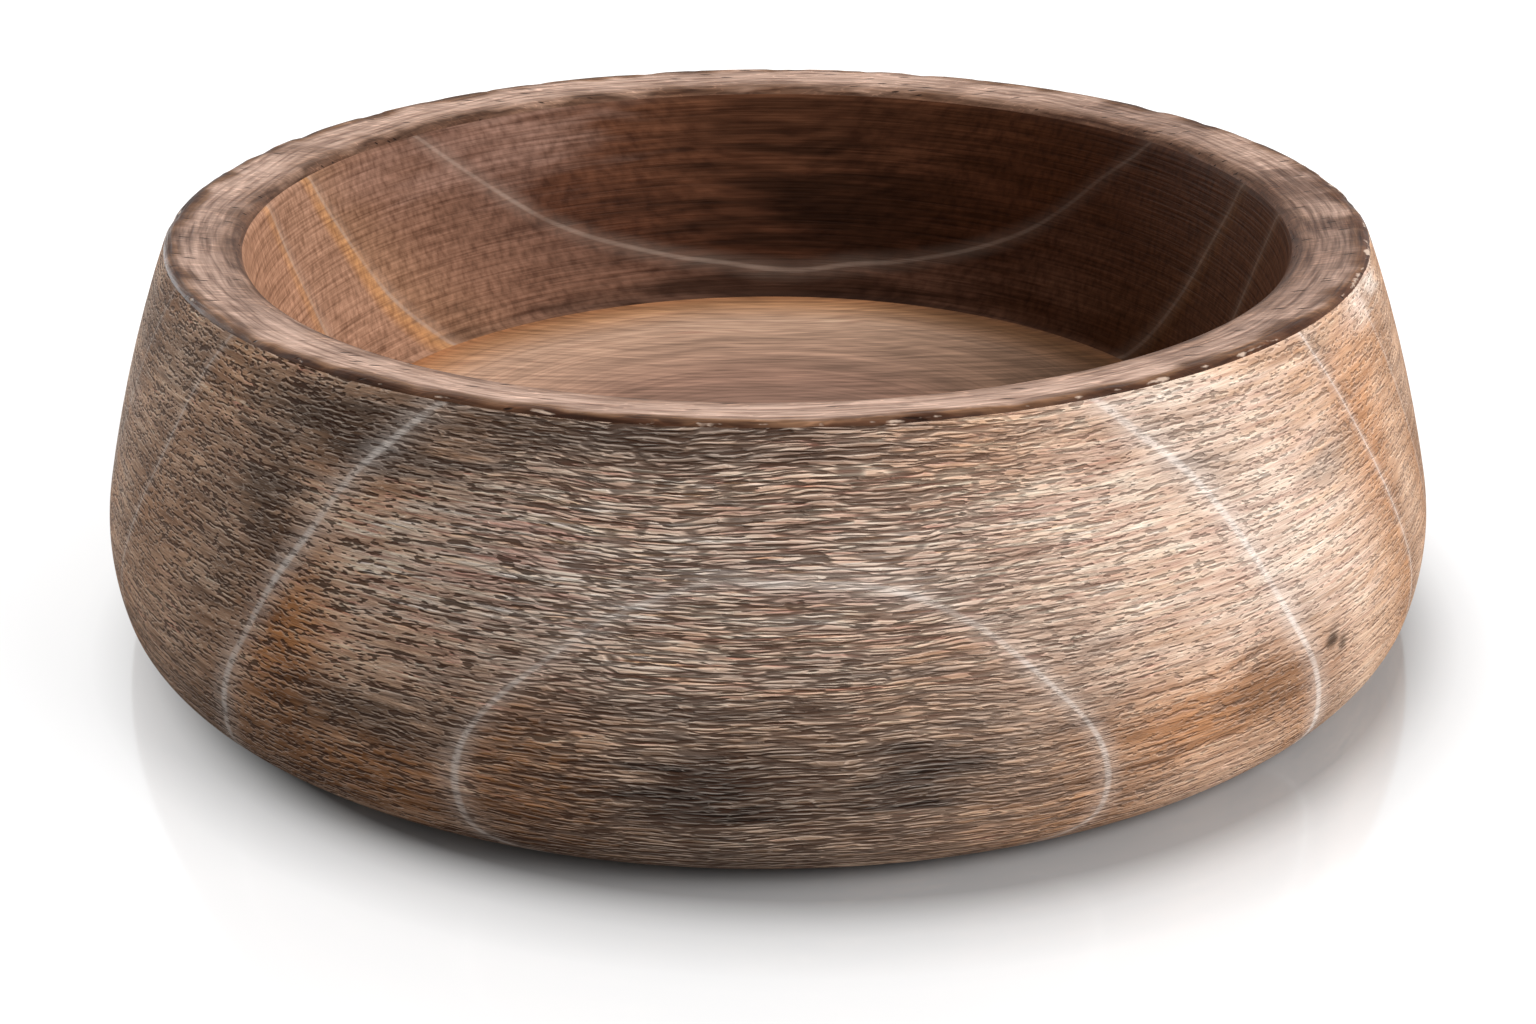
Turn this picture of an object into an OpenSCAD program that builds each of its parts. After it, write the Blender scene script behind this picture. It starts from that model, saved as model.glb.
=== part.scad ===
// Dough bowl, turned from one block of wood on its vertical axis.
// Lengths are in millimetres. +Z is up, and the origin is the centre of the base.

/* [Outside] */
// Widest diameter of the bowl, at its belly
belly_d = 340; // [310:1:380]
// Height of the belly's widest line above the table
belly_z = 25; // [20:0.5:30]
// Radius of the round that makes the belly
belly_r = 56; // [45:1:68]
// Radius of the long curve that leans in from the belly to the rim
wall_r = 360; // [260:5:600]
// Radius of the heel, where the belly turns under to the base
heel_r = 16; // [10:0.5:20]

/* [Rim] */
// Height of the rim's crest above the table
bowl_h = 98; // [86:1:115]
// Outer diameter of the rim, where the outside curve reaches the crest's height
rim_d = 299; // [286:1:310]
// Diameter of the mouth, where the inside wall reaches the crest's height
mouth_d = 263; // [240:1:270]
// Slope of the rim's top, down towards the mouth, in degrees
rim_slope = 7; // [2:0.5:14]
// Radius of the rim's outer edge
rim_edge_r = 2.5; // [1:0.25:5]
// Radius of the lip, the rim's inner edge
lip_r = 5; // [2:0.25:7]

/* [Inside] */
// Diameter of the floor, where the inside wall would meet it without the cove
floor_d = 240; // [200:1:256]
// Height of the floor's edge above the table
floor_z = 33; // [24:0.5:45]
// How much deeper the floor is at its centre than at its edge
floor_dish = 4; // [1:0.25:8]
// Radius of the cove between the floor and the inside wall
cove_r = 3; // [2:0.5:20]

/* [Underside] */
// Diameter of the recess that leaves a foot ring to stand on
recess_d = 252; // [180:1:280]
// Depth of the recess
recess_h = 2; // [0.5:0.25:6]
// Width of the slope that leads from the foot ring up into the recess
recess_slope_w = 3; // [1:0.5:10]

/* [Hidden] */
wood = "#8c6c50";
// Facets in a full turn
turn_facets = 180;
// Farthest that a chord may lie from the arc it stands for
arc_sag = 0.03;

// A point or direction of the section is [distance from the axis, height]
function unit(v) = v / norm(v);
function angle_of(v) = atan2(v.y, v.x);
function towards(angle) = [cos(angle), sin(angle)];

// Points along an arc, as many as its sag allows
function arc(centre, r, from, to) =
    let (steps = max(1, ceil(abs(to - from) / (2 * acos(1 - arc_sag / r)))))
    [for (i = [0 : steps]) centre + r * towards(from + (to - from) * i / steps)];

// Where two circles meet, on the left of the way from the first centre to the second
function circles_meet(c1, r1, c2, r2) =
    let (d = norm(c2 - c1), along = unit(c2 - c1), reach = (r1 * r1 - r2 * r2 + d * d) / (2 * d))
    c1 + reach * along - sqrt(r1 * r1 - reach * reach) * [along.y, -along.x];

// Where a ray that starts inside a circle leaves it
function ray_leaves(start, along, centre, r) =
    let (from = start - centre, back = from * along)
    start + (sqrt(back * back - from * from + r * r) - back) * along;

// The point that lies at reach a along direction u and at reach b along direction v
function point_at(u, a, v, b) = [a * v.y - b * u.y, b * u.x - a * v.x] / cross(u, v);

// A closed outline without the points that repeat where two arcs join
function joined(points) =
    [for (i = [0 : len(points) - 1])
        if (norm(points[i] - points[(i + 1) % len(points)]) > arc_sag) points[i]];

// Centres of the outside's arcs, each tangent to the next
belly_c = [belly_d / 2 - belly_r, belly_z];
heel_rise = heel_r - belly_z;
heel_c = [belly_c.x + sqrt(pow(belly_r - heel_r, 2) - heel_rise * heel_rise), heel_r];
wall_c = circles_meet(belly_c, wall_r - belly_r, [rim_d / 2, bowl_h], wall_r);
heel_end = angle_of(heel_c - belly_c);
belly_end = angle_of(belly_c - wall_c);

// Rim: a small round over the outer edge, then a top that slopes in to the lip
edge_z = bowl_h - rim_edge_r;
edge_c = [wall_c.x + sqrt(pow(wall_r - rim_edge_r, 2) - pow(edge_z - wall_c.y, 2)), edge_z];
wall_end = angle_of(edge_c - wall_c);
up = 90;
top_out = towards(up + rim_slope);
top_reach = edge_c * top_out + rim_edge_r;

// Inside wall: a straight taper from the mouth down to the floor, facing the axis
mouth_edge = [mouth_d / 2, bowl_h];
floor_edge = [floor_d / 2, floor_z];
wall_down = unit(floor_edge - mouth_edge);
inside_out = [wall_down.y, -wall_down.x];
inside_reach = mouth_edge * inside_out;
lip_c = point_at(top_out, top_reach - lip_r, inside_out, inside_reach - lip_r);

// Floor: a shallow dish, joined to the wall by the cove
dish_r = (pow(floor_d / 2, 2) + floor_dish * floor_dish) / (2 * floor_dish);
dish_c = [0, floor_z - floor_dish + dish_r];
cove_c = ray_leaves(mouth_edge + cove_r * inside_out, wall_down, dish_c, dish_r - cove_r);
cove_end = angle_of(cove_c - dish_c);

// Half section of the bowl, from the foot ring round the outside to the axis
section = joined(concat(
    arc(heel_c, heel_r, -up, heel_end),
    arc(belly_c, belly_r, heel_end, belly_end),
    arc(wall_c, wall_r, belly_end, wall_end),
    arc(edge_c, rim_edge_r, wall_end, up + rim_slope),
    arc(lip_c, lip_r, up + rim_slope, angle_of(inside_out)),
    arc(cove_c, cove_r, angle_of(-inside_out), cove_end),
    arc(dish_c, dish_r, cove_end, -up),
    [[0, recess_h], [recess_d / 2 - recess_slope_w, recess_h], [recess_d / 2, 0]]
));

module bowl() {
    color(wood)
        rotate_extrude($fn = turn_facets)
            polygon(section);
}

bowl();
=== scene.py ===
"""A dough bowl turned from one block of stained wood: brushed outside, smooth rim, turned inside and floor."""

import math

import bmesh
import bpy
from mathutils import Matrix, Vector, noise


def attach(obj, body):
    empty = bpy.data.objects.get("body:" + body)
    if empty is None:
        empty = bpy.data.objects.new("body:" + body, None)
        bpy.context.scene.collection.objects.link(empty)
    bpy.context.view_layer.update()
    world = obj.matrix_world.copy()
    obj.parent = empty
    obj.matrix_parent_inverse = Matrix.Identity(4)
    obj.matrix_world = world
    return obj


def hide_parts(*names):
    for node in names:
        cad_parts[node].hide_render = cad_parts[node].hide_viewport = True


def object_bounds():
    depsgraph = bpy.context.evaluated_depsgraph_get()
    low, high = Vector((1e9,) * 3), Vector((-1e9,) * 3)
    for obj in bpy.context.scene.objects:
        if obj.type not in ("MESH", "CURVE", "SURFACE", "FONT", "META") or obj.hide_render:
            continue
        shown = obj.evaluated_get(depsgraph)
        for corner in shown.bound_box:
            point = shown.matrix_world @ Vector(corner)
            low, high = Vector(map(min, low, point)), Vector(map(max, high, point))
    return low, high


MM = 0.001
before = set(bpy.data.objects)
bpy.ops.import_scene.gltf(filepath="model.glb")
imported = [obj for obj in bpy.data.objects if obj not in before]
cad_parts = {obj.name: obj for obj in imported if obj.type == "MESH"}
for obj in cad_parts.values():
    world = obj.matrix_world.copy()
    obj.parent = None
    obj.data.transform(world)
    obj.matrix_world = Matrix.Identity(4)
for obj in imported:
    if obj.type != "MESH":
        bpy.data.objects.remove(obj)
CAD_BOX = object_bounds()
BELLY_R = CAD_BOX[1].x

# How fine the bowl's mesh is: how often a sector is doubled to a full turn, the steps in a sector,
# and the longest steps along the section
SECTOR_DOUBLINGS = 4
SECTOR_STEPS = 26
WALL_STEP = 1.5 * MM
RIM_STEP = 0.8 * MM
PLAIN_STEP = 4.0 * MM
RIM_REACH = 22.0 * MM

# The smooth rim, measured along the section from the rim's crest to the brushed wall and to the inside wall
RIM_OUTSIDE = 2.6 * MM
RIM_INSIDE = 17.0 * MM
# How far along the section the rim's colours run, and the radius at which the floor's colours end
RIM_RAMP = 24.0 * MM
FLOOR_R = 121.0 * MM
# The outside starts past this radius, this far off the table
FOOT_R = 150.0 * MM
FOOT_CLEAR = 0.3 * MM
# Wear along the rim's outer edge: how far it reaches on each side, its depth, and the spacing of its dents
WEAR_REACH = 6.0 * MM
WEAR_DEPTH = 0.7 * MM
WEAR_SPACING = 11.0 * MM

# Growth rings, from front to back: (share of the belly's radius, pale line's half width in mm, its strength)
RINGS = (
    (-0.937, 0.35, 0.70),
    (-0.750, 0.80, 0.85),
    (-0.486, 0.45, 0.50),
    (-0.300, 0.40, 0.30),
    (-0.060, 0.60, 0.50),
    (0.123, 0.80, 0.55),
    (0.305, 0.80, 0.60),
    (0.620, 0.90, 0.45),
    (0.800, 0.90, 0.60),
    (0.930, 0.70, 0.60),
)
# How much a ring leans to the front as it rises: (share of the belly's radius, lean)
RING_LEANS = ((-1.0, 0.06), (-0.93, 0.075), (-0.76, 0.2), (-0.49, 0.33), (0.1, 0.35), (0.3, 0.5),
              (0.42, 0.7), (0.6, 0.85), (0.75, 0.92), (1.0, 0.95))
# The height at which a ring's place is given, and how much the rings turn towards one side, in front and behind
RING_LEVEL_SHARE = 0.35
RING_SKEW = 0.035
RING_SKEW_GAIN = 0.053

# Soft patches on the outside: (degrees round from the front, height, half width, half height in mm, strength)
DARK_STAINS_AND_HEEL_SHADE = (
    (-4, 26, 22, 9, 1.0),
    (10, 27, 18, 8, 1.0),
    (1, 28, 50, 15, 0.75),
    (-29, 31, 20, 6, 0.7),
    (-23, 33, 7, 7, 0.6),
    (-42, 68, 9, 18, 0.75),
    (-48, 60, 12, 20, 0.4),
    (-33, 89, 32, 7, 0.75),
    (-12, 94, 44, 4, 0.8),
    (47.5, 32, 2, 2, 0.85),
    (49, 29, 1.5, 1.5, 0.75),
    (40, 27, 14, 7, 0.45),
    (35, 79, 8, 3, 0.3),
    (52, 70, 11, 4, 0.3),
    # These two, low at the front and on the left, are partly a dark stain and partly painted shade towards the
    # heel
    (-10, 7, 50, 11, 0.7),
    (-45, 8, 70, 14, 0.6),
    (-62, 60, 44, 40, 0.3),
    (-68, 86, 34, 12, 0.5),
    (150, 40, 40, 9, 0.7),
    (-140, 70, 26, 12, 0.6),
    (-110, 30, 24, 8, 0.5),
    (84, 56, 40, 44, 0.35),
)
ORANGE_PATCHES = (
    (-17, 22, 14, 16, 0.8),
    (-38, 43, 10, 16, 0.75),
    (34, 27, 30, 9, 0.75),
    (59, 76, 11, 24, 0.55),
    (13, 90, 18, 7, 0.5),
    (-30, 16, 26, 9, 0.75),
    (3, 86, 26, 11, 0.3),
    (20, 14, 40, 8, 0.3),
    (120, 50, 40, 20, 0.5),
    (-165, 30, 40, 12, 0.5),
)
PALE_PATCHES = (
    (40, 60, 36, 30, 0.55),
    (30, 78, 40, 20, 0.5),
    (22, 55, 30, 22, 0.35),
    (0, 74, 60, 20, 0.55),
    (0, 89, 46, 7, 0.55),
    (63, 92, 10, 4, 0.9),
    (70, 94, 6, 3, 0.9),
    (33, 95, 14, 3, 0.6),
    (-15, 64, 34, 18, 0.65),
    (-85, 60, 30, 34, 0.55),
)
# The same on the rim
RIM_DARK = (
    (74, 97, 44, 30, 0.6),
    (84, 97, 9, 12, 0.85),
    (98, 97, 13, 12, 0.8),
    (-75, 97, 40, 30, 0.3),
    (128, 97, 30, 30, 0.5),
)
# The same on the inside wall, where 180 degrees is the back
INSIDE_DARK = (
    (166, 60, 50, 20, 0.95),
    (168, 86, 60, 12, 0.6),
    (172, 36, 80, 7, 0.8),
)
# Pale patches on the upper back-left of the inside wall: a painted sheen
INSIDE_PAINTED_SHEEN = (
    (-142, 86, 26, 9, 0.5),
    (-120, 88, 20, 5, 0.3),
)
# Settings that many nodes share: a mix of colours, one that deepens and lightens a colour, and a soft step
TINT = {"data_type": "RGBA"}
OVERLAY = {"data_type": "RGBA", "blend_type": "OVERLAY"}
SOFT = {"interpolation_type": "SMOOTHSTEP"}


def linear(hex_colour):
    """An sRGB hex colour as linear red, green, blue and alpha."""
    parts = [int(hex_colour[i:i + 2], 16) / 255 for i in (1, 3, 5)]
    return [p / 12.92 if p <= 0.04045 else ((p + 0.055) / 1.055) ** 2.4 for p in parts] + [1.0]


# What streaks do to a colour, from hollow to raised fibres: warmer and darker, no change, paler and greyer
STREAK_TINTS = [(0.0, linear("#553519")), (0.5, linear("#bdbbb9")), (1.0, linear("#eceef0"))]


def add(tree, kind, inputs=None, stops=None, **settings):
    """Adds a node with its settings, links and colour stops. A node as an input means its first live output."""
    made = tree.nodes.new(kind)
    for name, value in settings.items():
        setattr(made, name, value)
    live = [s for s in made.inputs if s.enabled]
    for key, value in (inputs or {}).items():
        socket = live[key] if isinstance(key, int) else next(s for s in live if s.name == key)
        if isinstance(value, bpy.types.Node):
            value = next(s for s in value.outputs if s.enabled)
        if isinstance(value, bpy.types.NodeSocket):
            tree.links.new(value, socket)
        else:
            socket.default_value = value
    if stops:
        ramp = made.color_ramp.elements
        ramp[0].position, ramp[0].color = stops[0]
        ramp[-1].position, ramp[-1].color = stops[-1]
        for place, colour in stops[1:-1]:
            ramp.new(place).color = colour
    return made


# The bowl's mesh


def half_section(node):
    """The CAD node's section in the plane y = 0, on the side x >= 0, as a wire in a new bmesh."""
    bm = bmesh.new()
    bm.from_mesh(node.data)
    bmesh.ops.remove_doubles(bm, verts=bm.verts, dist=1e-6)
    everything = bm.verts[:] + bm.edges[:] + bm.faces[:]
    cut = bmesh.ops.bisect_plane(bm, geom=everything, dist=1e-7, plane_co=(0, 0, 0), plane_no=(0, 1, 0))
    kept = {g for g in cut["geom_cut"] if isinstance(g, bmesh.types.BMEdge)}
    bmesh.ops.delete(bm, geom=bm.faces[:], context="FACES_ONLY")
    bmesh.ops.delete(bm, geom=[e for e in bm.edges if e not in kept], context="EDGES")
    everything = bm.verts[:] + bm.edges[:]
    bmesh.ops.bisect_plane(bm, geom=everything, dist=1e-7, plane_co=(0, 0, 0), plane_no=(1, 0, 0),
                           clear_inner=True)
    bmesh.ops.delete(bm, geom=[v for v in bm.verts if not v.link_edges], context="VERTS")
    return bm


def walk(bm):
    """The section's vertices in order, from the underside's centre round the outside to the floor's centre."""
    ends = sorted((v for v in bm.verts if len(v.link_edges) == 1), key=lambda v: v.co.z)
    path = [ends[0]]
    came_by = None
    while path[-1] is not ends[-1]:
        came_by = next(e for e in path[-1].link_edges if e is not came_by)
        path.append(came_by.other_vert(path[-1]))
    return path


def refine(bm):
    """Cuts the section finely at the rim, less finely down the outside, and coarsely elsewhere."""
    crest = max(bm.verts, key=lambda v: v.co.z).co.copy()
    foot = max(v.co.x for v in bm.verts if v.co.z < MM)
    for edge in bm.edges[:]:
        middle = (edge.verts[0].co + edge.verts[1].co) / 2
        step = WALL_STEP if middle.x > foot - WALL_STEP or middle.x > crest.x else PLAIN_STEP
        if (middle - crest).length < RIM_REACH:
            step = RIM_STEP
        cuts = math.ceil(edge.calc_length() / step) - 1
        if cuts > 0:
            bmesh.ops.subdivide_edges(bm, edges=[edge], cuts=cuts)
    ends = [v for v in bm.verts if len(v.link_edges) == 1]
    bmesh.ops.smooth_vert(bm, verts=[v for v in bm.verts if v not in ends], factor=0.5, use_axis_x=True,
                          use_axis_z=True)


def wear_edge(bm, along):
    """Rubs shallow, uneven dents into the rim's outer edge."""
    bm.normal_update()
    for vert in bm.verts:
        reach = 1.0 - abs(vert[along] + RIM_OUTSIDE / 2) / WEAR_REACH
        dent = noise.noise(vert.co / WEAR_SPACING) + 0.5 * noise.noise(vert.co / (0.4 * WEAR_SPACING))
        if reach > 0 and dent > 0:
            vert.co -= vert.normal * WEAR_DEPTH * reach * dent


def turned_bowl():
    """The CAD section, cut fine and turned about the axis. Each point keeps how far past the crest it lies."""
    bm = half_section(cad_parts["bowl"])
    refine(bm)
    along = bm.verts.layers.float.new("along")
    path = walk(bm)
    crest = max(range(len(path)), key=lambda i: path[i].co.z)
    lengths = [0.0]
    for before, here in zip(path, path[1:]):
        lengths.append(lengths[-1] + (here.co - before.co).length)
    for vert, length in zip(path, lengths):
        vert[along] = length - lengths[crest]
    foot_end = next(v[along] for v in path if v.co.x > FOOT_R and v.co.z > FOOT_CLEAR)
    floor_start = next(b[along] for a, b in zip(path[crest:], path[crest + 1:])
                       if b[along] > RIM_INSIDE and abs(b.co.x - a.co.x) > abs(b.co.z - a.co.z))
    outside = [(v.co.x, v.co.z) for v in path[:crest] if v[along] > foot_end]
    inside = [(v.co.x, v.co.z) for v in path[crest:] if v[along] < floor_start]
    angle = math.tau / 2 ** SECTOR_DOUBLINGS
    bmesh.ops.spin(bm, geom=bm.verts[:] + bm.edges[:], cent=(0, 0, 0), axis=(0, 0, 1), angle=angle,
                   steps=SECTOR_STEPS)
    for _ in range(SECTOR_DOUBLINGS):
        copied = bmesh.ops.duplicate(bm, geom=bm.verts[:] + bm.edges[:] + bm.faces[:])["geom"]
        bmesh.ops.rotate(bm, verts=[g for g in copied if isinstance(g, bmesh.types.BMVert)], cent=(0, 0, 0),
                         matrix=Matrix.Rotation(angle, 3, "Z"))
        angle *= 2
    bmesh.ops.remove_doubles(bm, verts=bm.verts, dist=1e-6)
    bmesh.ops.recalc_face_normals(bm, faces=bm.faces)
    wear_edge(bm, along)
    for face in bm.faces:
        face.smooth = True
        middle = sum(v[along] for v in face.verts) / len(face.verts)
        face.material_index = sum(middle > end for end in (foot_end, -RIM_OUTSIDE, RIM_INSIDE, floor_start))
    mesh = bpy.data.meshes.new("turned_bowl")
    bm.to_mesh(mesh)
    bm.free()
    made = bpy.data.objects.new("turned_bowl", mesh)
    bpy.context.collection.objects.link(made)
    return made, outside, inside


# Patterns that the finishes share


def wood_grain(tree):
    """Object coordinates in millimetres, and the same bent a little, so that the fibres along X wave."""
    here = add(tree, "ShaderNodeTexCoord").outputs["Object"]
    mm = add(tree, "ShaderNodeVectorMath", {0: here, "Scale": 1 / MM}, operation="SCALE")
    wave = add(tree, "ShaderNodeTexNoise", {"Vector": mm, "Scale": 1 / 45, "Detail": 1.0}).outputs["Color"]
    drift = add(tree, "ShaderNodeVectorMath", {0: wave, 1: (5, 5, 6), 2: (-2.5, -2.5, -3)},
                operation="MULTIPLY_ADD")
    return mm, add(tree, "ShaderNodeVectorMath", {0: mm, 1: drift}, operation="ADD")


def streaks(tree, grain, size, detail=1.0):
    """Noise from 0 to 1, drawn out to a length, depth and height in millimetres."""
    drawn = add(tree, "ShaderNodeVectorMath", {0: grain, 1: [1 / s for s in size]}, operation="MULTIPLY")
    noise = add(tree, "ShaderNodeTexNoise", {"Vector": drawn, "Scale": 1.0, "Detail": detail})
    return add(tree, "ShaderNodeMapRange", {"Value": noise, "From Min": 0.28, "From Max": 0.72})


def brush_marks(tree, grain, level, facing, harsh):
    """Where the brush took soft fibres out: pits in level rows everywhere, and long grooves round lens-shaped
    fibres where the surface faces along Y. Real grooves are about 0.2 mm wide, too fine to show in a render, so
    these are drawn about twice as wide."""
    drawn = add(tree, "ShaderNodeVectorMath", {0: grain, 1: (1 / 6, 1 / 1.6, 1 / 0.58)}, operation="MULTIPLY")
    noise = add(tree, "ShaderNodeTexNoise", {"Vector": drawn, "Scale": 1.0, "Detail": 1.0})
    drawn = add(tree, "ShaderNodeVectorMath", {0: level, 1: (1 / 11, 1 / 11, 1 / 0.62)}, operation="MULTIPLY")
    rows = add(tree, "ShaderNodeTexNoise", {"Vector": drawn, "Scale": 1.0, "Detail": 0.0})
    both = add(tree, "ShaderNodeMath", {0: rows, 1: 0.55, 2: noise}, operation="MULTIPLY_ADD")
    both = add(tree, "ShaderNodeMath", {0: harsh, 1: -0.08, 2: both}, operation="MULTIPLY_ADD")
    pits = add(tree, "ShaderNodeMapRange", {"Value": both, "From Min": 0.67, "From Max": 0.56},
               **SOFT)
    drawn = add(tree, "ShaderNodeVectorMath", {0: grain, 1: (1 / 14, 1 / 3, 1 / 0.95)}, operation="MULTIPLY")
    fibres = add(tree, "ShaderNodeTexVoronoi", {"Vector": drawn, "Scale": 1.0}, feature="DISTANCE_TO_EDGE")
    grooves = add(tree, "ShaderNodeMapRange", {"Value": fibres, "From Min": 0.16, "From Max": 0.03,
                  "To Max": 0.85}, **SOFT)
    grooves = add(tree, "ShaderNodeMath", {0: grooves, 1: facing}, operation="MULTIPLY")
    return add(tree, "ShaderNodeMath", {0: pits, 1: grooves}, operation="MAXIMUM")


def threads(tree, mm, size):
    """Thin level threads that the brush left standing."""
    drawn = add(tree, "ShaderNodeVectorMath", {0: mm, 1: [1 / s for s in size]}, operation="MULTIPLY")
    noise = add(tree, "ShaderNodeTexNoise", {"Vector": drawn, "Scale": 1.0, "Detail": 1.0})
    off = add(tree, "ShaderNodeMath", {0: noise, 1: 0.5}, operation="SUBTRACT")
    off = add(tree, "ShaderNodeMath", {0: off}, operation="ABSOLUTE")
    return add(tree, "ShaderNodeMapRange", {"Value": off, "From Min": 0.045, "From Max": 0.01},
               **SOFT)


def slits(tree, grain, size, reach):
    """Lens-shaped slits scattered through the wood, in cells of a length, depth and height in millimetres."""
    drawn = add(tree, "ShaderNodeVectorMath", {0: grain, 1: [1 / s for s in size]}, operation="MULTIPLY")
    cells = add(tree, "ShaderNodeTexVoronoi", {"Vector": drawn, "Scale": 1.0})
    return add(tree, "ShaderNodeMapRange", {"Value": cells, "From Min": reach, "From Max": 0.45 * reach},
               **SOFT)


def ring_coordinate(tree, grain):
    """How far back a point lies among the growth rings, as a share of the belly's radius."""
    share = add(tree, "ShaderNodeVectorMath", {0: grain, "Scale": MM / BELLY_R}, operation="SCALE")
    axes = add(tree, "ShaderNodeSeparateXYZ", {0: share}).outputs
    place = add(tree, "ShaderNodeMath", {0: axes["Y"], 1: 0.5, 2: 0.5}, operation="MULTIPLY_ADD")
    lean = add(tree, "ShaderNodeValToRGB", {"Fac": place}, [((y + 1) / 2, (s, s, s, 1)) for y, s in RING_LEANS])
    rise = add(tree, "ShaderNodeMath", {0: axes["Z"], 1: RING_LEVEL_SHARE}, operation="SUBTRACT")
    leaned = add(tree, "ShaderNodeMath", {0: lean, 1: rise, 2: axes["Y"]}, operation="MULTIPLY_ADD")
    skew = add(tree, "ShaderNodeMath", {0: axes["Y"], 1: RING_SKEW_GAIN, 2: RING_SKEW},
               operation="MULTIPLY_ADD")
    return add(tree, "ShaderNodeMath", {0: axes["X"], 1: skew, 2: leaned}, operation="MULTIPLY_ADD")


def ring_lines(tree, rings, grain, shown):
    """The pale lines between growth rings, broken up along their length."""
    lines = None
    for share, half_width, strength in shown:
        gap = add(tree, "ShaderNodeMath", {0: rings, 1: share}, operation="SUBTRACT")
        off = add(tree, "ShaderNodeMath", {0: gap}, operation="ABSOLUTE")
        line = add(tree, "ShaderNodeMapRange", {"Value": off, "From Min": 1.7 * half_width * MM / BELLY_R,
                   "From Max": 0.2 * half_width * MM / BELLY_R, "To Max": strength}, **SOFT)
        band = add(tree, "ShaderNodeMapRange", {"Value": off, "From Min": 6 * half_width * MM / BELLY_R,
                   "From Max": 0.0, "To Max": 0.4 * strength}, **SOFT)
        line = add(tree, "ShaderNodeMath", {0: line, 1: band}, operation="MAXIMUM")
        if lines is not None:
            line = add(tree, "ShaderNodeMath", {0: lines, 1: line}, operation="MAXIMUM")
        lines = line
    broken = streaks(tree, grain, (16, 16, 16), 4.0)
    kept = add(tree, "ShaderNodeMapRange", {"Value": broken, "To Min": 0.45})
    return add(tree, "ShaderNodeMath", {0: lines, 1: kept}, operation="MULTIPLY")


def ring_tones(tree, rings, before, after, between):
    """Colour from ring to ring: one tone just before each line, another just after it, a third in between."""
    stops = [(0.0, linear(between))]
    places = [(share + 1) / 2.1 for share, _, _ in RINGS] + [1.0]
    for here, following in zip(places, places[1:]):
        stops.append((here - 0.004, linear(before)))
        stops.append((here + 0.004, linear(after)))
        stops.append((here + 0.4 * (following - here), linear(between)))
    stops.append((1.0, linear(after)))
    place = add(tree, "ShaderNodeMapRange", {"Value": rings, "From Min": -1.0, "From Max": 1.1})
    return add(tree, "ShaderNodeValToRGB", {"Fac": place}, stops)


def patches(tree, grain, ragged, spots, outline):
    """Soft patches with edges that run along the grain."""
    found = None
    for turn, height, half_width, half_height, strength in spots:
        a = math.radians(turn)
        r = min(outline, key=lambda point: abs(point[1] - height * MM))[0] / MM
        centre = Vector((r * math.sin(a), -r * math.cos(a), height))
        scale = Vector((1 / half_width, 1 / half_width, 1 / half_height))
        off = add(tree, "ShaderNodeVectorMath", {0: grain, 1: scale, 2: -centre * scale},
                  operation="MULTIPLY_ADD")
        far = add(tree, "ShaderNodeVectorMath", {0: off}, operation="LENGTH").outputs["Value"]
        edge = add(tree, "ShaderNodeMath", {0: ragged, 1: 1.4, 2: far}, operation="MULTIPLY_ADD")
        spot = add(tree, "ShaderNodeMapRange", {"Value": edge, "From Min": 2.8, "From Max": 0.8,
                   "To Max": strength}, **SOFT)
        if found is not None:
            spot = add(tree, "ShaderNodeMath", {0: found, 1: spot}, operation="MAXIMUM")
        found = spot
    return found


def turning_rings(tree, grain, spacing, length=60.0):
    """Fine rings about the axis, as a turning tool leaves them, that swell and fade over a length in mm."""
    flat = add(tree, "ShaderNodeVectorMath", {0: grain, 1: (1, 1, 0)}, operation="MULTIPLY")
    radius = add(tree, "ShaderNodeVectorMath", {0: flat}, operation="LENGTH").outputs["Value"]
    ring = add(tree, "ShaderNodeMath", {0: radius, 1: spacing}, operation="DIVIDE")
    round_about = add(tree, "ShaderNodeVectorMath", {0: grain, "Scale": 1 / length}, operation="SCALE")
    axes = add(tree, "ShaderNodeSeparateXYZ", {0: round_about}).outputs
    place = add(tree, "ShaderNodeCombineXYZ", {0: ring, 1: axes["X"], 2: axes["Y"]})
    return add(tree, "ShaderNodeTexNoise", {"Vector": place, "Scale": 1.0, "Detail": 2.0})


def new_wood(name, rough, shine):
    """A new material of plain wood, with its roughness and shine."""
    made = bpy.data.materials.new(name)
    made.use_nodes = True
    shader = made.node_tree.nodes["Principled BSDF"]
    shader.inputs["Roughness"].default_value = rough
    shader.inputs["Specular IOR Level"].default_value = shine
    return made, made.node_tree, shader


def dress(tree, shader, colour, height, depth):
    """Gives the shader its colour, and its relief as a depth in millimetres."""
    bump = add(tree, "ShaderNodeBump", {"Height": height, "Distance": depth * MM, "Strength": 1.0})
    tree.links.new(next(s for s in colour.outputs if s.enabled), shader.inputs["Base Color"])
    tree.links.new(bump.outputs["Normal"], shader.inputs["Normal"])


# Finishes


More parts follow.
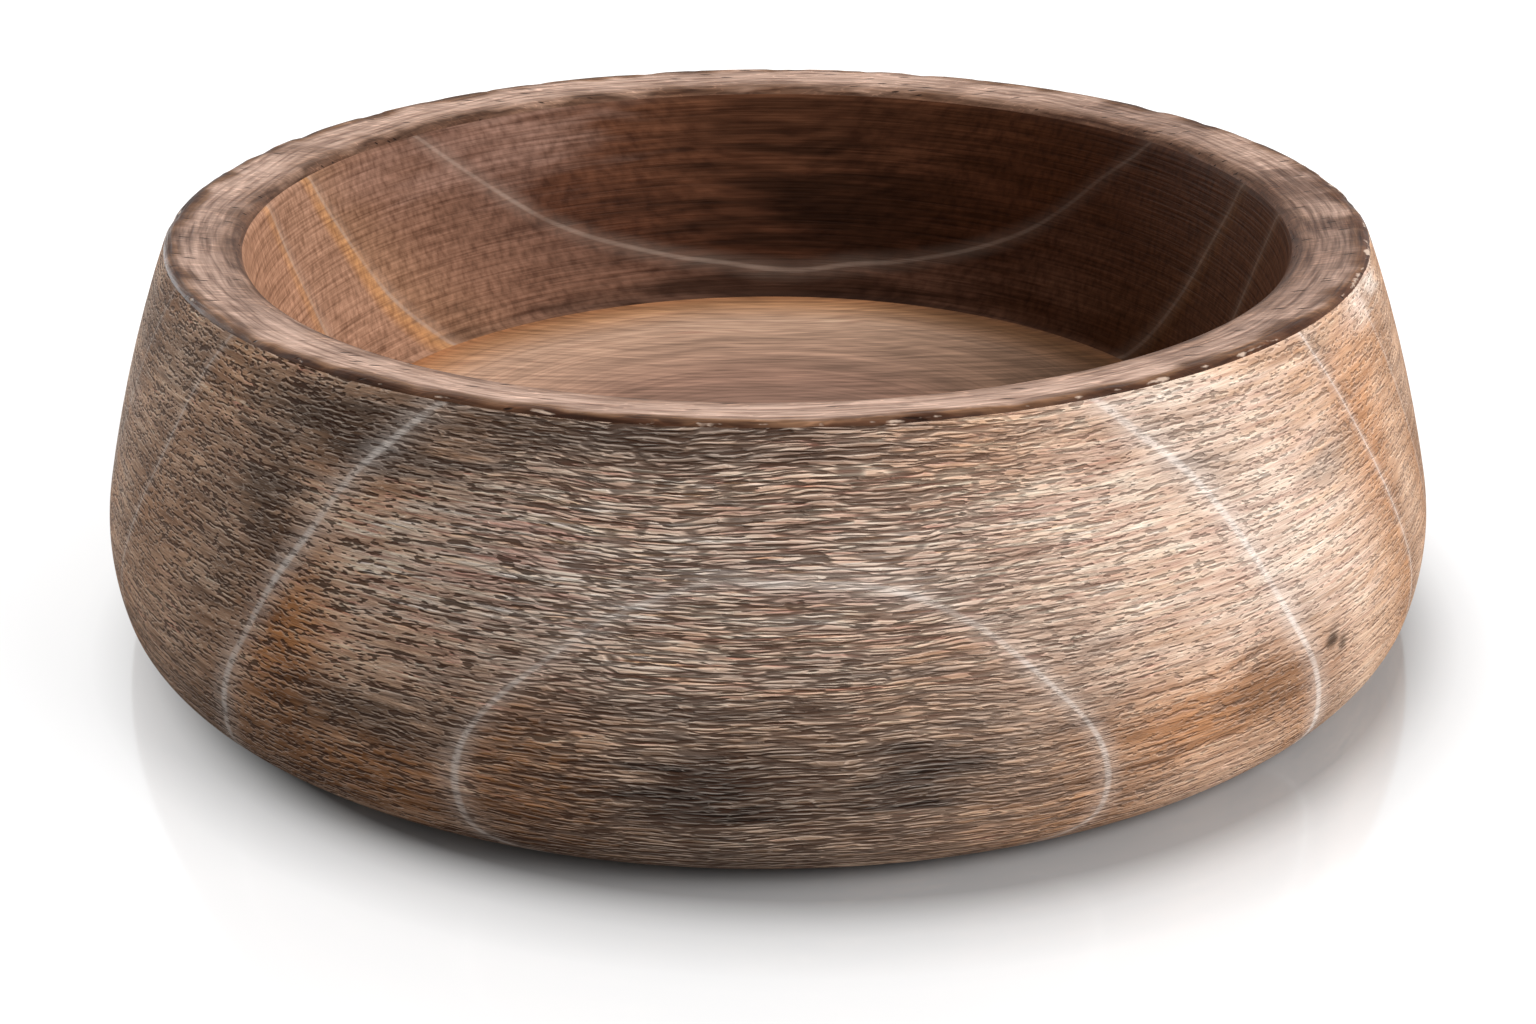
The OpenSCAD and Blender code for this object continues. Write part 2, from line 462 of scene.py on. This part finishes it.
def brushed_outside(outline):
    """Wire-brushed, stained and weathered wood: dry and matt, with soft fibres brushed out between hard ones.
    That leaves dark slits along X, long at the front and short at the sides, with dry pale fibres between, and
    a painted highlight, a pale sliver as if lit from above, just under each slit."""
    made, tree, shader = new_wood("wire-brushed stained wood", 0.85, 0.1)
    mm, grain = wood_grain(tree)
    rings = ring_coordinate(tree, grain)
    lines = ring_lines(tree, rings, grain, RINGS)
    ragged = streaks(tree, grain, (24, 16, 2.2), 2.0)

    mottle = streaks(tree, grain, (70, 40, 22), 2.0)
    colour = add(tree, "ShaderNodeMix", {0: mottle, 1: linear("#aa8265"), 2: linear("#cdab91")}, **TINT)
    tones = ring_tones(tree, rings, "#94643a", "#6a4e3a", "#bfa28b")
    amount = add(tree, "ShaderNodeMapRange", {"Value": streaks(tree, grain, (50, 50, 30)), "To Min": 0.2,
                 "To Max": 0.75})
    colour = add(tree, "ShaderNodeMix", {0: amount, 1: colour, 2: tones}, **TINT)
    # Pale, orange and dark patches; the two lowest dark ones are partly painted shade towards the heel
    for spots, tint in ((PALE_PATCHES, "#d9c7ba"), (ORANGE_PATCHES, "#a0652f"), (DARK_STAINS_AND_HEEL_SHADE, "#221711")):
        mask = patches(tree, grain, ragged, spots, outline)
        colour = add(tree, "ShaderNodeMix", {0: mask, 1: colour, 2: linear(tint)}, **TINT)

    east = add(tree, "ShaderNodeSeparateXYZ", {0: mm}).outputs["X"]
    place = add(tree, "ShaderNodeMapRange", {"Value": east, "From Min": -170.0, "From Max": 170.0})
    harsh = add(tree, "ShaderNodeValToRGB", {"Fac": place}, [(x, (h, h, h, 1)) for x, h in (
        (0.0, 0.8), (0.18, 1.0), (0.52, 1.0), (0.78, 0.6), (1.0, 0.5))])
    weight = add(tree, "ShaderNodeMath", {0: harsh, 1: 0.5}, operation="MULTIPLY")
    streaky = streaks(tree, grain, (34, 18, 1.6), 2.0)
    streaky = add(tree, "ShaderNodeValToRGB", {"Fac": streaky}, STREAK_TINTS)
    colour = add(tree, "ShaderNodeMix", {0: weight, 1: colour, 2: streaky}, **OVERLAY)

    bent = add(tree, "ShaderNodeTexNoise", {"Vector": grain, "Scale": 1 / 6, "Detail": 1.0}).outputs["Color"]
    bends = add(tree, "ShaderNodeVectorMath", {0: bent, 1: (3.0, 0.8, 0.6), 2: grain},
                operation="MULTIPLY_ADD")
    # The brush marks again, moved 0.3 mm down the surface: a pale sliver under each slit, a painted highlight
    # on its lower lip as if lit from above
    raised = add(tree, "ShaderNodeVectorMath", {0: bends, 1: (0, 0, 0.3)}, operation="ADD")
    above = add(tree, "ShaderNodeVectorMath", {0: mm, 1: (0, 0, 0.3)}, operation="ADD")
    side = add(tree, "ShaderNodeMath", {0: east}, operation="ABSOLUTE")
    facing = add(tree, "ShaderNodeMapRange", {"Value": side, "From Min": 90.0, "From Max": 35.0})
    pores = brush_marks(tree, bends, mm, facing, harsh)
    painted_lip_highlights = brush_marks(tree, raised, above, facing, harsh)
    rows = streaks(tree, mm, (12, 12, 0.6), 2.0)
    row_tint = add(tree, "ShaderNodeValToRGB", {"Fac": rows}, STREAK_TINTS)
    standing = threads(tree, mm, (7, 7, 0.75))
    shown = streaks(tree, grain, (14, 14, 3))
    standing = add(tree, "ShaderNodeMath", {0: standing, 1: shown}, operation="MULTIPLY")
    # Paler colour on the dry threads that the brush left standing, and the painted highlights under the slits
    pale_fibres_and_painted_highlights = add(tree, "ShaderNodeMath", {0: painted_lip_highlights, 1: standing}, operation="MAXIMUM")
    pale_fibres_and_painted_highlights = add(tree, "ShaderNodeMath", {0: pale_fibres_and_painted_highlights, 1: harsh}, operation="MULTIPLY")
    pale = add(tree, "ShaderNodeVectorMath", {0: colour, "Scale": 1.5}, operation="SCALE")
    pale = add(tree, "ShaderNodeMix", {0: 0.35, 1: pale, 2: linear("#dccdc0")}, **TINT)
    colour = add(tree, "ShaderNodeMix", {0: pale_fibres_and_painted_highlights, 1: colour, 2: pale}, **TINT)
    colour = add(tree, "ShaderNodeMix", {0: weight, 1: colour, 2: row_tint}, **OVERLAY)
    colour = add(tree, "ShaderNodeMix", {0: lines, 1: colour, 2: linear("#e2d8d0")}, **TINT)
    deep = add(tree, "ShaderNodeMix", {0: 0.88, 1: colour, 2: linear("#341a09")}, **TINT)
    closed = add(tree, "ShaderNodeMath", {0: lines, 1: -0.6, 2: 1.0}, operation="MULTIPLY_ADD")
    dark = add(tree, "ShaderNodeMath", {0: pores, 1: closed}, operation="MULTIPLY")
    dark = add(tree, "ShaderNodeMath", {0: dark, 1: harsh}, operation="MULTIPLY")
    colour = add(tree, "ShaderNodeMix", {0: dark, 1: colour, 2: deep}, **TINT)
    relief = add(tree, "ShaderNodeMath", {0: dark, 1: -1.2, 2: rows}, operation="MULTIPLY_ADD")
    relief = add(tree, "ShaderNodeMath", {0: standing, 1: 0.6, 2: relief}, operation="MULTIPLY_ADD")
    dress(tree, shader, colour, relief, 0.35)
    return made


def smooth_rim(outline):
    """The rim's waxed wood, smoothed by wear: a soft sheen, dark along both edges and paler on the crown,
    partly its own tone and partly painted shade on the rounded edges with a painted highlight on the crown,
    rubbed along its length, with fine cracks along the grain and chips on its outer edge."""
    made, tree, shader = new_wood("waxed rim wood", 0.45, 0.06)
    mm, grain = wood_grain(tree)
    along = add(tree, "ShaderNodeAttribute", attribute_name="along").outputs["Fac"]
    wander = streaks(tree, grain, (20, 12, 12), 3.0)
    place = add(tree, "ShaderNodeMath", {0: along, 1: 1 / RIM_RAMP, 2: 0.1}, operation="MULTIPLY_ADD")
    place = add(tree, "ShaderNodeMath", {0: wander, 1: 0.2, 2: place}, operation="MULTIPLY_ADD")
    # Across the rim: partly its own darker edge tone, partly painted shade on both rounded edges and a painted
    # highlight on the crown
    colour = add(tree, "ShaderNodeValToRGB", {"Fac": place}, [
        (0.0, linear("#2a170e")), (0.13, linear("#3f271a")), (0.21, linear("#74553f")),
        (0.32, linear("#b09383")), (0.58, linear("#aa8d7d")), (0.74, linear("#8c6f5e")),
        (0.84, linear("#553e31")), (1.0, linear("#6a4c3c"))])
    cloud = streaks(tree, grain, (36, 16, 16), 3.0)
    cloud = add(tree, "ShaderNodeMapRange", {"Value": cloud, "From Min": 0.5, "From Max": 0.9, "To Max": 0.6})
    colour = add(tree, "ShaderNodeMix", {0: cloud, 1: colour, 2: linear("#5c3f2d")}, **TINT)
    dark = patches(tree, grain, wander, RIM_DARK, outline)
    colour = add(tree, "ShaderNodeMix", {0: dark, 1: colour, 2: linear("#4a2e1f")}, **TINT)
    rubbed = turning_rings(tree, grain, 1.2, 16.0)
    rubbed = add(tree, "ShaderNodeMapRange", {"Value": rubbed, "From Min": 0.3, "From Max": 0.7})
    rub_tint = add(tree, "ShaderNodeValToRGB", {"Fac": rubbed}, STREAK_TINTS)
    colour = add(tree, "ShaderNodeMix", {0: 0.6, 1: colour, 2: rub_tint}, **OVERLAY)
    fibres = streaks(tree, grain, (14, 1.0, 1.0), 2.0)
    colour = add(tree, "ShaderNodeMix", {0: 0.2, 1: colour, 2: fibres}, **OVERLAY)
    scratches = threads(tree, grain, (9, 1.6, 1.6))
    shown = streaks(tree, grain, (9, 7, 7))
    scratches = add(tree, "ShaderNodeMath", {0: scratches, 1: shown}, operation="MULTIPLY")
    paler = add(tree, "ShaderNodeVectorMath", {0: colour, "Scale": 1.6}, operation="SCALE")
    colour = add(tree, "ShaderNodeMix", {0: scratches, 1: colour, 2: paler}, **TINT)
    cracks = slits(tree, grain, (16, 2.4, 2.4), 0.16)
    colour = add(tree, "ShaderNodeMix", {0: cracks, 1: colour, 2: linear("#24140c")}, **TINT)
    east = add(tree, "ShaderNodeSeparateXYZ", {0: mm}).outputs["X"]
    more = add(tree, "ShaderNodeMapRange", {"Value": east, "From Min": -60.0, "From Max": 130.0,
               "To Min": -0.12, "To Max": 0.12})
    edge = add(tree, "ShaderNodeMath", {0: along, 1: 1.7 * MM}, operation="ADD")
    edge = add(tree, "ShaderNodeMath", {0: edge}, operation="ABSOLUTE")
    edge = add(tree, "ShaderNodeMath", {0: edge, 1: -0.3 / MM, 2: more}, operation="MULTIPLY_ADD")
    edge = add(tree, "ShaderNodeMath", {0: streaks(tree, grain, (6, 6, 2), 3.0), 1: edge}, operation="ADD")
    chips = add(tree, "ShaderNodeMapRange", {"Value": edge, "From Min": 0.64, "From Max": 0.82})
    colour = add(tree, "ShaderNodeMix", {0: chips, 1: colour, 2: linear("#b39c8b")}, **TINT)
    relief = add(tree, "ShaderNodeMath", {0: cracks, 1: -1.5, 2: rubbed}, operation="MULTIPLY_ADD")
    relief = add(tree, "ShaderNodeMath", {0: chips, 1: -1.5, 2: relief}, operation="MULTIPLY_ADD")
    dress(tree, shader, colour, relief, 0.2)
    return made


def turned_inside(outline):
    """The inside wall: smooth stained wood, almost without shine, with fine level turning marks, darkest at the
    back, and with painted shade darkening it towards the right."""
    made, tree, shader = new_wood("turned stained wood", 0.5, 0.04)
    mm, grain = wood_grain(tree)
    rings = ring_coordinate(tree, grain)
    ragged = streaks(tree, grain, (30, 24, 4), 2.0)
    place = add(tree, "ShaderNodeMapRange", {"Value": rings, "From Min": -1.0, "From Max": 1.0})
    colour = add(tree, "ShaderNodeValToRGB", {"Fac": place}, [((share + 1) / 2, linear(c)) for share, c in (
        (-1.0, "#8e6a52"), (0.0, "#9a745d"), (0.095, "#9a745d"), (0.115, "#a87850"), (0.13, "#93705b"),
        (0.265, "#93705b"), (0.295, "#a87748"), (0.315, "#86654f"), (0.44, "#785847"), (0.6, "#614538"),
        (0.635, "#482b1d"), (1.0, "#603d2a"))])
    dark = patches(tree, grain, ragged, INSIDE_DARK, outline)
    colour = add(tree, "ShaderNodeMix", {0: dark, 1: colour, 2: linear("#1f1008")}, **TINT)
    # Painted sheen on the upper back-left wall
    painted_sheen = patches(tree, grain, ragged, INSIDE_PAINTED_SHEEN, outline)
    colour = add(tree, "ShaderNodeMix", {0: painted_sheen, 1: colour, 2: linear("#98786a")}, **TINT)
    east = add(tree, "ShaderNodeSeparateXYZ", {0: mm}).outputs["X"]
    # Painted shade: darker towards the right, where the wall faces away from the key lamp
    painted_shade = add(tree, "ShaderNodeMapRange", {"Value": east, "From Min": 10.0, "From Max": 115.0,
                "To Max": 0.92}, **SOFT)
    colour = add(tree, "ShaderNodeMix", {0: painted_shade, 1: colour, 2: linear("#351a09")}, **TINT)
    level = streaks(tree, mm, (30, 30, 0.8), 3.0)
    level_tint = add(tree, "ShaderNodeValToRGB", {"Fac": level}, STREAK_TINTS)
    colour = add(tree, "ShaderNodeMix", {0: 0.45, 1: colour, 2: level_tint}, **OVERLAY)
    fibres = streaks(tree, grain, (16, 1.3, 3.0), 2.0)
    fibres = add(tree, "ShaderNodeValToRGB", {"Fac": fibres}, STREAK_TINTS)
    colour = add(tree, "ShaderNodeMix", {0: 0.4, 1: colour, 2: fibres}, **OVERLAY)
    lines = ring_lines(tree, rings, grain, RINGS[5:8])
    # The ring lines fade where the painted shade falls
    faint = add(tree, "ShaderNodeMath", {0: painted_shade, 1: -0.7, 2: 1.0}, operation="MULTIPLY_ADD")
    lines = add(tree, "ShaderNodeMath", {0: lines, 1: faint}, operation="MULTIPLY")
    colour = add(tree, "ShaderNodeMix", {0: lines, 1: colour, 2: linear("#b09c8e")}, **TINT)
    dress(tree, shader, colour, level, 0.12)
    return made


def turned_floor():
    """The floor: smooth paler wood with the rings of the turning tool, orange where it meets the wall, and
    painted shade darkening its right side.
    """
    made, tree, shader = new_wood("turned floor wood", 0.55, 0.15)
    mm, grain = wood_grain(tree)
    marks = turning_rings(tree, grain, 1.6)
    broad = turning_rings(tree, grain, 9.0)
    flat = add(tree, "ShaderNodeVectorMath", {0: grain, 1: (1, 1, 0)}, operation="MULTIPLY")
    radius = add(tree, "ShaderNodeVectorMath", {0: flat}, operation="LENGTH").outputs["Value"]
    place = add(tree, "ShaderNodeMapRange", {"Value": radius, "From Max": FLOOR_R / MM})
    colour = add(tree, "ShaderNodeValToRGB", {"Fac": place}, [
        (0.0, linear("#84675a")), (0.5, linear("#937261")), (0.84, linear("#bf9c84")),
        (0.94, linear("#b1835f")), (0.985, linear("#8a5c3c")), (1.0, linear("#5c3c29"))])
    east = add(tree, "ShaderNodeSeparateXYZ", {0: mm}).outputs["X"]
    # Painted shade: darker towards the right, as if in the shadow of the right wall
    painted_shade = add(tree, "ShaderNodeMapRange", {"Value": east, "From Min": 10.0, "From Max": 100.0,
                "To Max": 0.8}, **SOFT)
    colour = add(tree, "ShaderNodeMix", {0: painted_shade, 1: colour, 2: linear("#5a3c27")}, **TINT)
    colour = add(tree, "ShaderNodeMix", {0: 0.45, 1: colour, 2: broad}, **OVERLAY)
    colour = add(tree, "ShaderNodeMix", {0: 0.4, 1: colour, 2: marks}, **OVERLAY)
    fibres = streaks(tree, grain, (16, 1.2, 4), 2.0)
    colour = add(tree, "ShaderNodeMix", {0: 0.35, 1: colour, 2: fibres}, **OVERLAY)
    dress(tree, shader, colour, marks, 0.2)
    return made


def turned_underside():
    """The base: bare turned wood with the tool's rings."""
    made, tree, shader = new_wood("turned base wood", 0.7, 0.3)
    _, grain = wood_grain(tree)
    marks = turning_rings(tree, grain, 2.2)
    colour = add(tree, "ShaderNodeMix", {0: streaks(tree, grain, (60, 18, 18), 3.0), 1: linear("#7d6350"),
                 2: linear("#a88a70")}, **TINT)
    colour = add(tree, "ShaderNodeMix", {0: 0.5, 1: colour, 2: marks}, **OVERLAY)
    fibres = streaks(tree, grain, (16, 1.2, 4), 2.0)
    colour = add(tree, "ShaderNodeMix", {0: 0.5, 1: colour, 2: fibres}, **OVERLAY)
    dress(tree, shader, colour, marks, 0.25)
    return made


bowl, outside, inside = turned_bowl()
# In the order of the faces' material numbers
finishes = [turned_underside(), brushed_outside(outside), smooth_rim(inside), turned_inside(inside),
            turned_floor()]
for finish in finishes:
    bowl.data.materials.append(finish)
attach(bowl, "root")
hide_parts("bowl")

# Stage: pale floor, soft studio light and the camera
FLOOR_SIZE = 12.0
WORLD_STRENGTH = 0.49
# The floor's own glow: (distance from its centre in metres, strength). Near the bowl it drops to nothing, which
# paints a dark contact shadow, and far out it is strong enough to wash out the lamps' real shadow. Its centre
# is moved to the front and right, so the painted shadow is darkest at the front and faintest on the left
GLOW_AND_PAINTED_SHADOW = ((0.0, 0.0), (0.155, 0.0), (0.167, 0.38), (0.184, 0.62), (0.25, 0.70), (0.4, 0.77), (1.2, 0.8))
PAINTED_SHADOW_CENTRE = (0.009, -0.015, 0.0)


def white_sweep():
    """A white floor with a faint polish. Away from the bowl its own glow shows it as white to the camera; near
    the bowl the glow fades out, which paints a contact shadow.
    """
    bm = bmesh.new()
    bmesh.ops.create_grid(bm, x_segments=1, y_segments=1, size=FLOOR_SIZE / 2)
    mesh = bpy.data.meshes.new("white_sweep")
    bm.to_mesh(mesh)
    bm.free()
    floor = bpy.data.objects.new("white_sweep", mesh)
    bpy.context.collection.objects.link(floor)
    made = bpy.data.materials.new("white sweep")
    made.use_nodes = True
    tree = made.node_tree
    shader = tree.nodes["Principled BSDF"]
    shader.inputs["Base Color"].default_value = linear("#999898")
    shader.inputs["Roughness"].default_value = 0.1
    shader.inputs["Specular IOR Level"].default_value = 1.0
    here = add(tree, "ShaderNodeTexCoord").outputs["Object"]
    # Glow by distance from a point just in front of the bowl's centre: none under and next to the bowl, which
    # paints its contact shadow, and full far out
    away = add(tree, "ShaderNodeVectorMath", {0: here, 1: PAINTED_SHADOW_CENTRE}, operation="DISTANCE")
    away = away.outputs["Value"]
    place = add(tree, "ShaderNodeMath", {0: away, 1: GLOW_AND_PAINTED_SHADOW[-1][0]}, operation="DIVIDE")
    glow = add(tree, "ShaderNodeValToRGB", {"Fac": place}, [(r / GLOW_AND_PAINTED_SHADOW[-1][0], (g, g, g, 1)) for r, g in GLOW_AND_PAINTED_SHADOW])
    path = add(tree, "ShaderNodeLightPath").outputs
    seen = add(tree, "ShaderNodeMath", {0: path["Is Camera Ray"], 1: path["Is Glossy Ray"]},
               operation="MAXIMUM")
    seen = add(tree, "ShaderNodeMath", {0: seen, 1: path["Is Transmission Ray"]}, operation="MAXIMUM")
    glow = add(tree, "ShaderNodeMath", {0: glow, 1: seen}, operation="MULTIPLY")
    shader.inputs["Emission Color"].default_value = (1, 1, 1, 1)
    tree.links.new(glow.outputs["Value"], shader.inputs["Emission Strength"])
    mesh.materials.append(made)


def soft_lamp(name, toward, distance, size, level):
    """A square lamp that lights a facing surface to the given level, where 1 shows a colour as written."""
    lamp = bpy.data.lights.new(name, "AREA")
    lamp.size = size
    lamp.energy = level * (math.pi * distance) ** 2
    made = bpy.data.objects.new(name, lamp)
    way = Vector(toward).normalized()
    made.location = way * distance
    made.rotation_mode = "QUATERNION"
    made.rotation_quaternion = way.to_track_quat("Z", "Y")
    bpy.context.collection.objects.link(made)


def studio():
    """White surroundings that light the bowl softly, a large lamp at the front right, and two faint ones."""
    world = bpy.data.worlds.new("studio")
    world.use_nodes = True
    tree = world.node_tree
    tree.nodes["Background"].inputs["Color"].default_value = (1, 1, 1, 1)
    path = add(tree, "ShaderNodeLightPath").outputs
    shown = add(tree, "ShaderNodeMath", {0: path["Is Camera Ray"], 1: path["Is Glossy Ray"]},
                operation="MAXIMUM")
    shown = add(tree, "ShaderNodeMath", {0: shown, 1: path["Is Transmission Ray"]}, operation="MAXIMUM")
    level = add(tree, "ShaderNodeMapRange", {"Value": shown, "To Min": WORLD_STRENGTH, "To Max": 1.0})
    tree.links.new(level.outputs["Result"], tree.nodes["Background"].inputs["Strength"])
    bpy.context.scene.world = world
    soft_lamp("key", (1.0, -0.55, 0.75), 1.3, 0.8, 1.2)
    soft_lamp("top", (-0.2, 0.1, 1.0), 1.4, 1.2, 0.15)
    soft_lamp("side", (-1.0, 0.8, 0.3), 1.2, 0.6, 0.5)


CAMERA_ELEVATION = math.radians(23.8)
CAMERA_DISTANCE = 645 * MM
CAMERA_AIM_Z = 12.8 * MM
CAMERA_ROLL = -0.004
FOCAL_PIXELS = 2400
FRAME_PIXELS = 1536


def camera():
    """The camera, at the photograph's height and distance."""
    lens = bpy.data.cameras.new("camera")
    lens.sensor_width = 36.0
    lens.lens = lens.sensor_width * FOCAL_PIXELS / FRAME_PIXELS
    lens.clip_start = 0.01
    made = bpy.data.objects.new("camera", lens)
    made.location = (0, -math.cos(CAMERA_ELEVATION) * CAMERA_DISTANCE,
                     math.sin(CAMERA_ELEVATION) * CAMERA_DISTANCE + CAMERA_AIM_Z)
    tilt = Matrix.Rotation(math.pi / 2 - CAMERA_ELEVATION, 3, "X") @ Matrix.Rotation(CAMERA_ROLL, 3, "Z")
    made.rotation_euler = tilt.to_euler()
    bpy.context.collection.objects.link(made)
    bpy.context.scene.camera = made


white_sweep()
studio()
camera()
bpy.context.scene.view_settings.view_transform = "Standard"
